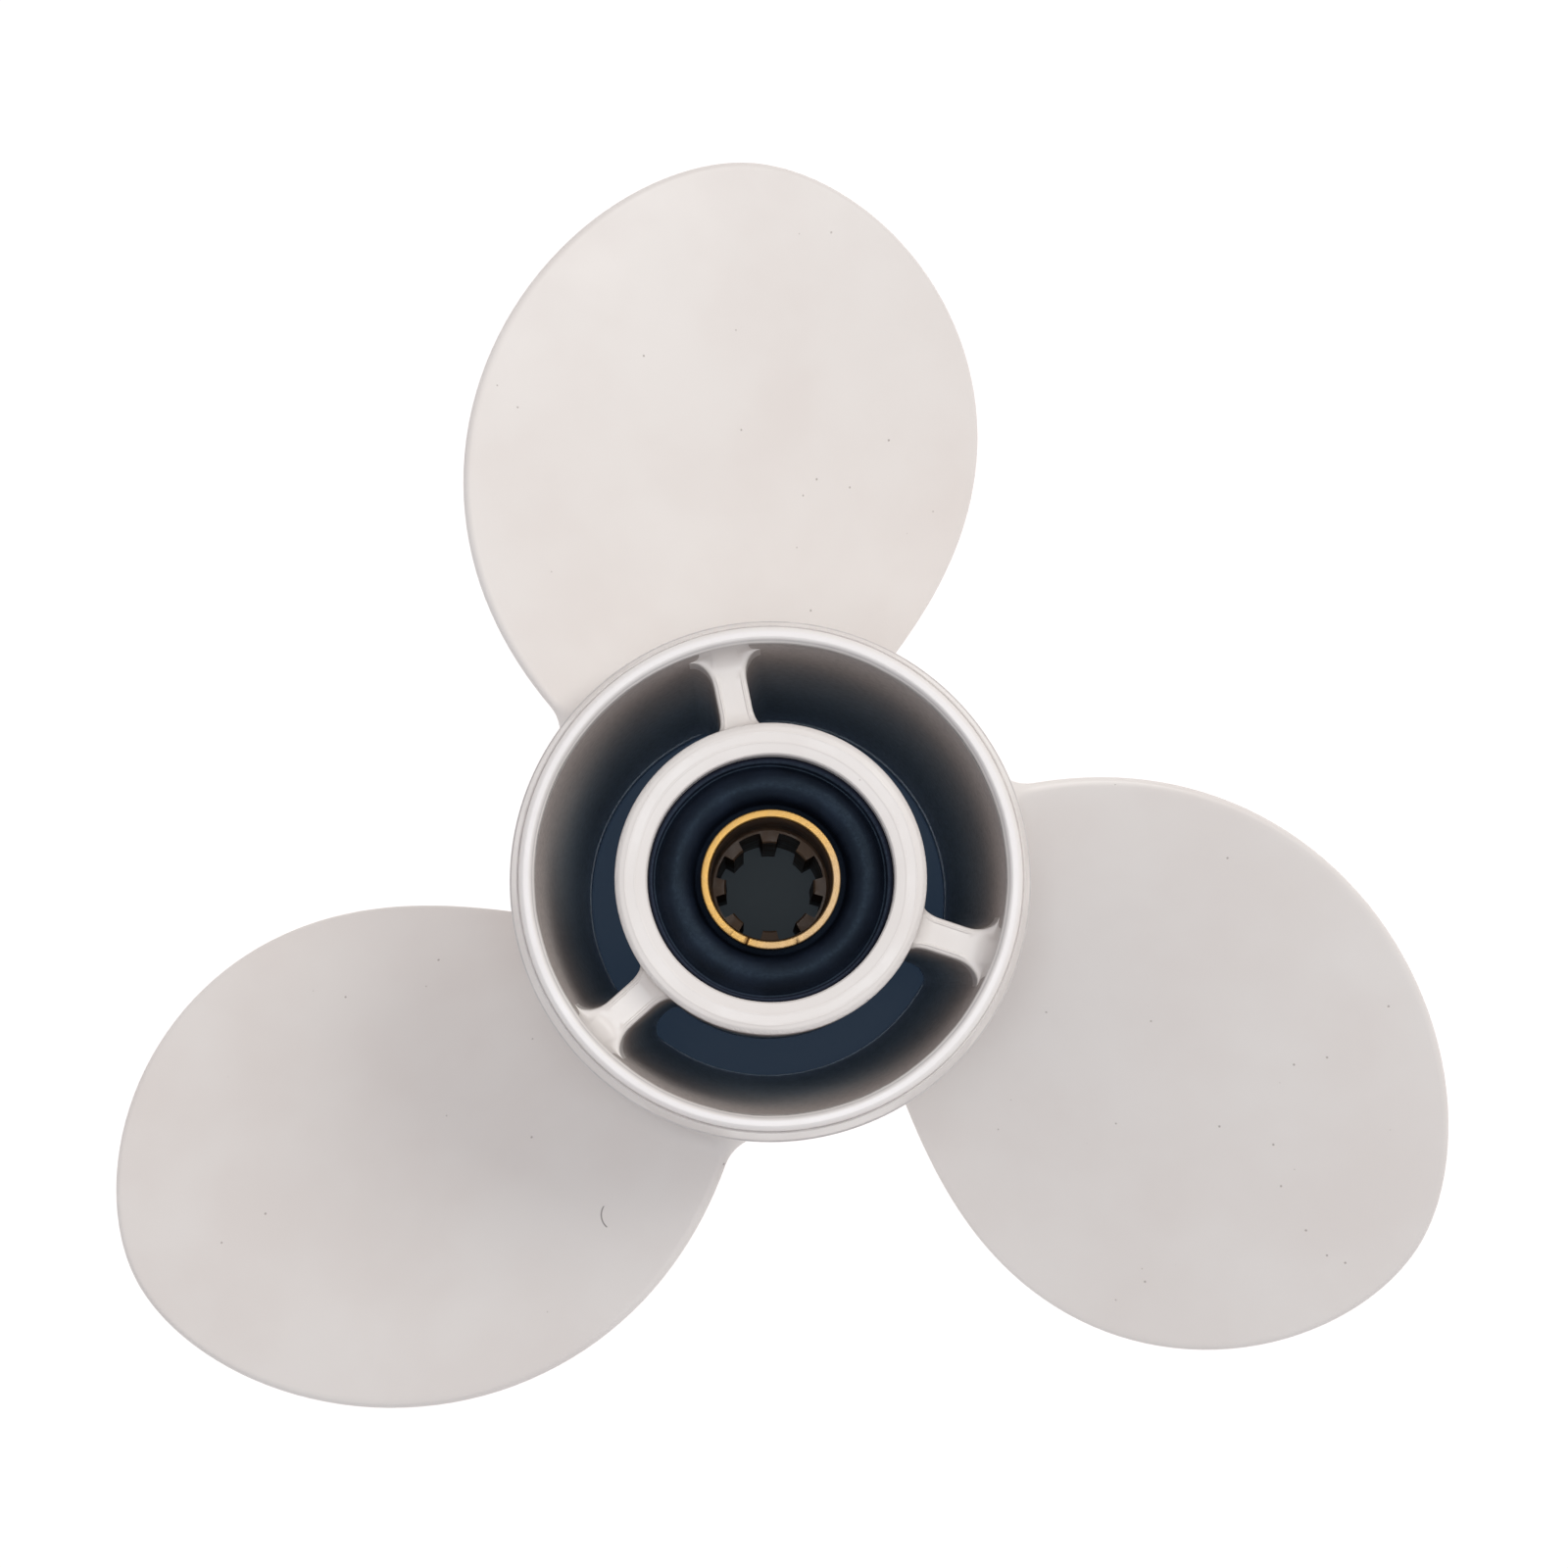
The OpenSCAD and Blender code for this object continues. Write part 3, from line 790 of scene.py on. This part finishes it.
# ---------------------------------------------------------------- materials
class Finish:
    """A material with short calls for its nodes. Positions are the object's own, in metres."""

    def __init__(self, name, settings):
        self.material = bpy.data.materials.new(name)
        self.material.use_nodes = True
        self.nodes, self.links = self.material.node_tree.nodes, self.material.node_tree.links
        self.shader = self.nodes["Principled BSDF"]
        for socket, value in settings.items():
            self.shader.inputs[socket].default_value = value
        self.place = self.nodes.new("ShaderNodeTexCoord").outputs["Object"]

    def node(self, kind, inputs, output=0, **properties):
        """Adds a node, sets or links its inputs and gives one of its outputs."""
        made = self.nodes.new("ShaderNode" + kind)
        for name, value in properties.items():
            setattr(made, name, value)
        for name, value in inputs.items():
            if isinstance(value, bpy.types.NodeSocket):
                self.links.new(value, made.inputs[name])
            else:
                made.inputs[name].default_value = value
        return made.outputs[output]

    def noise(self, size_mm, detail=2.0, roughness=0.5, place=None, distortion=0.0):
        """Noise from 0 to 1 whose features are about that size."""
        return self.node("TexNoise", {
            "Vector": place or self.place, "Scale": 1000 / size_mm, "Detail": detail,
            "Roughness": roughness, "Distortion": distortion})

    def band(self, value, low, high, to_low=0.0, to_high=1.0):
        """Value from low to high, smoothly spread over to_low to to_high."""
        return self.node("MapRange", {
            "Value": value, "From Min": low, "From Max": high, "To Min": to_low, "To Max": to_high},
            interpolation_type="SMOOTHSTEP")

    def math(self, operation, a, b=0.0):
        """The result of a maths operation on one or two values."""
        return self.node("Math", {0: a, 1: b}, operation=operation)

    def mix(self, share, a, b, blend="MIX"):
        """Two colours mixed by a share."""
        made = self.nodes.new("ShaderNodeMix")
        made.data_type, made.blend_type = "RGBA", blend
        for socket, value in ((made.inputs[0], share), (made.inputs[6], a), (made.inputs[7], b)):
            if isinstance(value, bpy.types.NodeSocket):
                self.links.new(value, socket)
            else:
                socket.default_value = value if isinstance(value, float) else (*value, 1)
        return made.outputs[2]

    def axis(self, name):
        """One coordinate of the position, in metres."""
        return self.node("SeparateXYZ", {"Vector": self.place}, output=name)

    def scaled(self, x, y, z):
        """The position stretched along each axis."""
        return self.node("VectorMath", {0: self.place, 1: (x, y, z)}, operation="MULTIPLY")

    def radius(self):
        """Distance from the shaft axis, in metres."""
        return self.node("VectorMath", {0: self.scaled(1, 1, 0)}, output="Value", operation="LENGTH")

    def circle(self, r_mm, z_mm, width_mm, wander_mm=0.0):
        """1 on a circle round the shaft axis, which may wander, and 0 farther from it than a width."""
        out = self.math("SUBTRACT", self.radius(), r_mm * MM)
        if wander_mm:
            drift = self.math("SUBTRACT", self.noise(13, 1), 0.5)
            out = self.math("ADD", out, self.math("MULTIPLY", drift, 2 * wander_mm * MM))
        up = self.math("SUBTRACT", self.axis("Z"), z_mm * MM)
        away = self.node("CombineXYZ", {"X": out, "Y": up})
        distance = self.node("VectorMath", {0: away}, output="Value", operation="LENGTH")
        return self.band(distance, width_mm * MM, 0.0)

    def distance(self, place, point_mm):
        """Distance of a position from a point, in metres."""
        point = tuple(v * MM for v in point_mm)
        return self.node("VectorMath", {0: place, 1: point}, "Value", operation="DISTANCE")

    def arc(self, centre_mm, r_mm, middle_mm, half_length_mm, half_width_mm):
        """1 on a short arc, which bends round a centre as seen along the shaft, and 0 elsewhere."""
        from_centre = self.distance(self.scaled(1, 1, 0), centre_mm)
        off_line = self.math("ABSOLUTE", self.math("SUBTRACT", from_centre, r_mm * MM))
        from_middle = self.distance(self.place, middle_mm)
        half_width, half_length = half_width_mm * MM, half_length_mm * MM
        on_line = self.band(off_line, half_width, half_width * 0.3)
        return self.math("MULTIPLY", on_line, self.band(from_middle, half_length, half_length * 0.85))

    def dots(self, spacing_mm, size_share, chance):
        """1 in scattered round dots, as many as chance says, and 0 elsewhere."""
        cell = self.nodes.new("ShaderNodeTexVoronoi")
        cell.inputs["Scale"].default_value = 1000 / spacing_mm
        self.links.new(self.place, cell.inputs["Vector"])
        inside = self.band(cell.outputs["Distance"], size_share, size_share * 0.5)
        pick = self.node("SeparateColor", {"Color": cell.outputs["Color"]}, output="Red")
        return self.math("MULTIPLY", inside, self.math("LESS_THAN", pick, chance))

    def bump(self, *layers):
        """Bump from (height, depth in mm) layers."""
        normal = None
        for height, depth_mm in layers:
            inputs = {"Height": height, "Distance": depth_mm * MM, "Strength": 1.0}
            if normal:
                inputs["Normal"] = normal
            normal = self.node("Bump", inputs)
        self.links.new(normal, self.shader.inputs["Normal"])

    def use(self, sockets):
        """Links outputs to the shader's own sockets."""
        for socket, value in sockets.items():
            self.links.new(value, self.shader.inputs[socket])
        return self.material


# Darker lines along the lip's seam and slope, its groove, the widest ring and the ribs' feet on the inner
# hub, as circles: painted shade in these creases and edges, broken into patches: radius, height, width,
# strength, how broken it is, its colour
SEAM_SHADE_LINES = (
    (MOUTH_R + 0.15, LIP_SEAM_Z + 0.15, 0.42, 1.0, 0.2, (0.035, 0.027, 0.024)),
    (MOUTH_R + 0.38, HUB_TOP - 0.5, 0.3, 0.4, 0.3, (0.30, 0.29, 0.30)),
    (LIP_GROOVE_R, LIP_SEAM_Z + 0.05, 0.45, 0.4, 0.3, (0.36, 0.33, 0.33)),
    (HUB_WIDEST_R - 0.1, RING_Z + 0.3, 0.6, 0.5, 0.3, (0.35, 0.33, 0.34)),
    (INNER_R, RIB_TOP + RIB_RISE, 0.35, 0.6, 0.3, (0.25, 0.21, 0.20)))
# Raised rings of paint on the inner hub's rear face: radius, and how far each wanders from it
FACE_RIDGES = ((21.7, 0.5), (20.1, 0.4))
# A curved scratch on the blade at the lower left
SCRATCH = {
    "centre_mm": (-33.15, -44.66, 0), "r_mm": 2.42,
    "middle_mm": (-35.5, -44.7, 51.7), "half_length_mm": 2.0, "half_width_mm": 0.17}


def painted_casting():
    """Warm white sprayed paint over cast metal: soft mottling, orange peel, pits, painted shade along the
    seams and grooves and a painted highlight on the lip.
    """
    finish = Finish("painted_casting", {"Specular IOR Level": 0.4})
    mottle = finish.band(finish.noise(26, 3, 0.55), 0.3, 0.7)
    shade, light = (0.772, 0.722, 0.692), (0.802, 0.762, 0.734)
    colour = finish.mix(mottle, shade, light)
    pits = finish.dots(2.6, 0.1, 0.1)
    grime = (0.25, 0.2, 0.18)
    colour = finish.mix(finish.math("MULTIPLY", pits, 0.55), colour, grime)
    patchy = finish.noise(3, 3, 0.6)
    # Painted shade: each seam line darkens its crease or edge in broken patches.
    for r, z, width, strength, broken, tone in SEAM_SHADE_LINES:
        line = finish.math("MULTIPLY", finish.circle(r, z, width), strength)
        uneven_share = finish.band(patchy, 0.32, 0.6, 1 - broken, 1.0)
        colour = finish.mix(finish.math("MULTIPLY", line, uneven_share), colour, tone)
    scratch = finish.arc(**SCRATCH)
    bared_metal = (0.26, 0.23, 0.22)
    colour = finish.mix(finish.math("MULTIPLY", scratch, 0.8), colour, bared_metal)
    # Painted highlight: the lip's upward-facing crest is painted lighter.
    lip_painted_highlight = finish.circle(MOUTH_R + 1.3, HUB_TOP, 1.3)
    painted_highlight_white = (0.9, 0.87, 0.865)
    colour = finish.mix(finish.math("MULTIPLY", lip_painted_highlight, 0.8), colour, painted_highlight_white)
    rough = finish.band(finish.noise(9, 3), 0.25, 0.75, 0.3, 0.42)
    worn_rim = finish.circle(HUB_WIDEST_R, RING_Z + 0.3, 0.9)
    worn_hub = finish.circle(INNER_R - 0.2, INNER_TOP - 0.7, 0.9)
    nicks = finish.math("MULTIPLY", finish.math("MAXIMUM", worn_rim, worn_hub), finish.noise(1.1, 2, 0.7))
    ridges = finish.math("MAXIMUM", *(finish.circle(r, INNER_TOP, 0.25, wander) for r, wander in FACE_RIDGES))
    sunk = finish.math("MULTIPLY", finish.math("MAXIMUM", pits, scratch), -1.0)
    ripples, peel = finish.noise(30, 1), finish.noise(1.6, 2)
    finish.bump((ripples, 0.12), (peel, 0.012), (nicks, 0.22), (ridges, 0.03), (sunk, 0.05))
    return finish.use({"Base Color": colour, "Roughness": rough})


def bare_casting():
    """Inside of the exhaust passages: taupe overspray by the mouth and blue-grey skin deeper in, its blue
    partly a painted cool tint of the shade in the passages.
    """
    finish = Finish("bare_casting", {"Specular IOR Level": 0.25})
    height = finish.axis("Z")
    wavy = finish.math("ADD", height, finish.math("MULTIPLY", finish.noise(18, 2), 0.012))
    # The blue of the deep and front colours is partly painted: the cool tint of the shade inside the
    # passages.
    skin, overspray, socket = (0.40, 0.475, 0.555), (0.55, 0.495, 0.47), (0.55, 0.62, 0.7)
    colour = finish.mix(finish.band(wavy, 0.03, 0.088), skin, overspray)
    colour = finish.mix(finish.band(wavy, 0.03, 0.012), colour, socket)
    grain = finish.noise(0.9, 3, 0.65)
    soot = (0.2, 0.19, 0.19)
    colour = finish.mix(finish.band(grain, 0.35, 0.75, 0.0, 0.25), colour, soot)
    rough = finish.band(grain, 0.2, 0.8, 0.5, 0.75)
    finish.bump((finish.noise(7, 2), 0.1), (grain, 0.04))
    return finish.use({"Base Color": colour, "Roughness": rough})


def bush_rubber():
    """Blue-black moulded rubber with a dusty bloom and a fine grain."""
    finish = Finish("bush_rubber", {"Specular IOR Level": 0.26, "Specular Tint": (0.55, 0.78, 1, 1)})
    bloom = finish.band(finish.noise(6, 4, 0.6), 0.35, 0.75)
    clean, dusty, outer_band_tone = (0.004, 0.006, 0.012), (0.008, 0.012, 0.023), (0.015, 0.017, 0.032)
    colour = finish.mix(bloom, clean, dusty)
    # The outer band, outside the groove, is lighter.
    outer_band = finish.band(finish.radius(), GROOVE_R * MM, (GROOVE_R + 0.6) * MM)
    colour = finish.mix(outer_band, colour, outer_band_tone)
    grain = finish.noise(0.5, 3, 0.6)
    rough = finish.band(grain, 0.2, 0.8, 0.42, 0.6)
    finish.bump((finish.noise(3, 2), 0.1), (grain, 0.035))
    return finish.use({"Base Color": colour, "Roughness": rough})


def sleeve_brass():
    """Machined brass: fine slanted tool marks, one duller side and tarnish below the rear face."""
    finish = Finish("sleeve_brass", {"Metallic": 1.0})
    round_ring = finish.math("ARCTAN2", finish.axis("Y"), finish.axis("X"))
    arc = finish.math("MULTIPLY", round_ring, SLEEVE_R * MM)
    across_marks = finish.math("MULTIPLY", finish.math("ADD", arc, finish.radius()), 1.7)
    along_marks = finish.math("MULTIPLY", finish.math("SUBTRACT", arc, finish.radius()), 0.16)
    slanted = finish.node("CombineXYZ", {"X": across_marks, "Y": along_marks})
    marks = finish.noise(0.5, 3, 0.6, place=slanted)
    # The brass is paler and duller toward the +X, -Y side.
    dull_side = (60, -55, 0)
    toward_side = finish.node("VectorMath", {0: finish.place, 1: dull_side}, "Value", operation="DOT_PRODUCT")
    uneven_share = finish.band(finish.math("ADD", toward_side, finish.noise(5, 2)), 0.3, 1.25)
    yellow, dull = (0.48, 0.28, 0.08), (0.40, 0.27, 0.15)
    bright, tarnish = (0.64, 0.45, 0.2), (0.07, 0.035, 0.015)
    colour = finish.mix(uneven_share, yellow, dull)
    colour = finish.mix(finish.band(marks, 0.4, 0.75, 0.0, 0.5), colour, bright)
    below_face = finish.band(finish.axis("Z"), (SLEEVE_TOP - 0.12) * MM, (SLEEVE_TOP - 0.3) * MM)
    colour = finish.mix(below_face, colour, tarnish)
    rough = finish.band(marks, 0.25, 0.75, 0.4, 0.55)
    finish.bump((marks, 0.03), (finish.noise(4, 1), 0.06))
    return finish.use({"Base Color": colour, "Roughness": rough})


def sleeve_bore():
    """Tarnished brown inside of the sleeve, greasy in places."""
    finish = Finish("sleeve_bore", {"Metallic": 0.15, "Specular IOR Level": 0.3})
    film = finish.band(finish.noise(3, 3), 0.3, 0.7)
    greasy, dry = (0.085, 0.052, 0.033), (0.16, 0.098, 0.062)
    colour = finish.mix(film, greasy, dry)
    rough = finish.band(film, 0.0, 1.0, 0.38, 0.6)
    finish.bump((finish.noise(0.7, 2), 0.02))
    return finish.use({"Base Color": colour, "Roughness": rough})


# ---------------------------------------------------------------- the object
def piece(mesh, body, slot, *nodes):
    """Shows a mesh as a piece that rides on a body in place of CAD nodes."""
    made = bpy.data.objects.new(mesh.name, mesh)
    bpy.context.scene.collection.objects.link(made)
    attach(made, body)
    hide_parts(*nodes)
    return made


CASTING_NODES = frame["record"]["behaviour"]["bodies"]["propeller"]
piece(casting_mesh([painted_casting(), bare_casting()]), "propeller", "painted_casting", *CASTING_NODES)
piece(bush_mesh([bush_rubber()]), "bush", "bush_rubber", "rubber_bush")
piece(sleeve_mesh([sleeve_brass(), sleeve_bore()]), "sleeve", "sleeve_brass", "splined_sleeve")


# ---------------------------------------------------------------- floor, light and camera
def floor():
    """Plain white table that glows evenly, except under the hub, where a painted shadow makes it nearly dark
    and a faint painted blue glow shows under the passages.
    """
    half = 3.0
    corners = [(x * half, y * half, 0) for x, y in ((-1, -1), (1, -1), (1, 1), (-1, 1))]
    mesh = bpy.data.meshes.new("floor")
    mesh.from_pydata(corners, [], [(0, 1, 2, 3)])
    finish = Finish("table", {
        "Base Color": (0.05, 0.05, 0.05, 1), "Roughness": 0.8, "Emission Strength": 1.0})
    distance = finish.radius()
    # Painted shadow under the hub, and a faint painted blue glow where the passages open onto the table.
    painted_shadow_under_bore, painted_glow_under_passages, white = (0.015, 0.019, 0.022), (0.011, 0.021, 0.038), (1.03, 1.0, 0.99)
    painted_shade_under_hub = finish.mix(finish.band(distance, 0.01, 0.018), painted_shadow_under_bore, painted_glow_under_passages)
    outside = finish.band(distance, HUB_FRONT_R * MM, (HUB_FRONT_R + 3) * MM)
    glow = finish.mix(outside, painted_shade_under_hub, white)
    mesh.materials.append(finish.use({"Emission Color": glow}))
    made = bpy.data.objects.new("floor", mesh)
    bpy.context.scene.collection.objects.link(made)


def lamp(name, position, size, power, colour):
    """A square area light at a position in metres, facing the middle of the hub."""
    data = bpy.data.lights.new(name, "AREA")
    data.size, data.energy, data.color = size, power, colour
    made = bpy.data.objects.new(name, data)
    made.location = position
    hub_middle = Vector((0, 0, 0.05))
    made.rotation_euler = (hub_middle - made.location).to_track_quat("-Z", "Y").to_euler()
    bpy.context.scene.collection.objects.link(made)


def studio():
    """Soft surroundings, warm and bright above and on the +X side, cooler and dimmer below."""
    brightest_way = (0.25, 0.2, 0.95)
    dim, bright = (0.36, 0.40, 0.45, 1), (0.53, 0.46, 0.43, 1)
    world = bpy.data.worlds.new("studio")
    world.use_nodes = True
    nodes, links = world.node_tree.nodes, world.node_tree.links
    toward = nodes.new("ShaderNodeVectorMath")
    toward.operation = "DOT_PRODUCT"
    toward.inputs[1].default_value = brightest_way
    links.new(nodes.new("ShaderNodeTexCoord").outputs["Generated"], toward.inputs[0])
    ramp = nodes.new("ShaderNodeMix")
    ramp.data_type = "RGBA"
    ramp.inputs[6].default_value = dim
    ramp.inputs[7].default_value = bright
    links.new(toward.outputs["Value"], ramp.inputs[0])
    links.new(ramp.outputs[2], nodes["Background"].inputs["Color"])
    bpy.context.scene.world = world


def turn_about(axis, degrees):
    """Rotation matrix about the X, Y or Z axis."""
    return Matrix.Rotation(math.radians(degrees), 3, axis)


def camera():
    """The camera, 700 mm above the rear end, a little off the shaft's axis and tipped back toward it."""
    data = bpy.data.cameras.new("camera")
    data.lens = 109.2
    made = bpy.data.objects.new("camera", data)
    made.location = Vector((-9.86, -27.58, HUB_TOP + 700)) * MM
    turn = turn_about("Z", -11.6) @ turn_about("X", 3.502) @ turn_about("Y", -0.494)
    made.rotation_euler = turn.to_euler()
    bpy.context.scene.collection.objects.link(made)
    bpy.context.scene.camera = made


floor()
camera()
lamp("key", position=(0.59, 0.34, 0.98), size=0.5, power=4.35, colour=(0.955, 0.985, 0.965))
lamp("fill", position=(-0.02, -0.04, 1.05), size=0.3, power=2.6, colour=(0.87, 0.94, 1))
studio()
bpy.context.scene.view_settings.view_transform = "Standard"
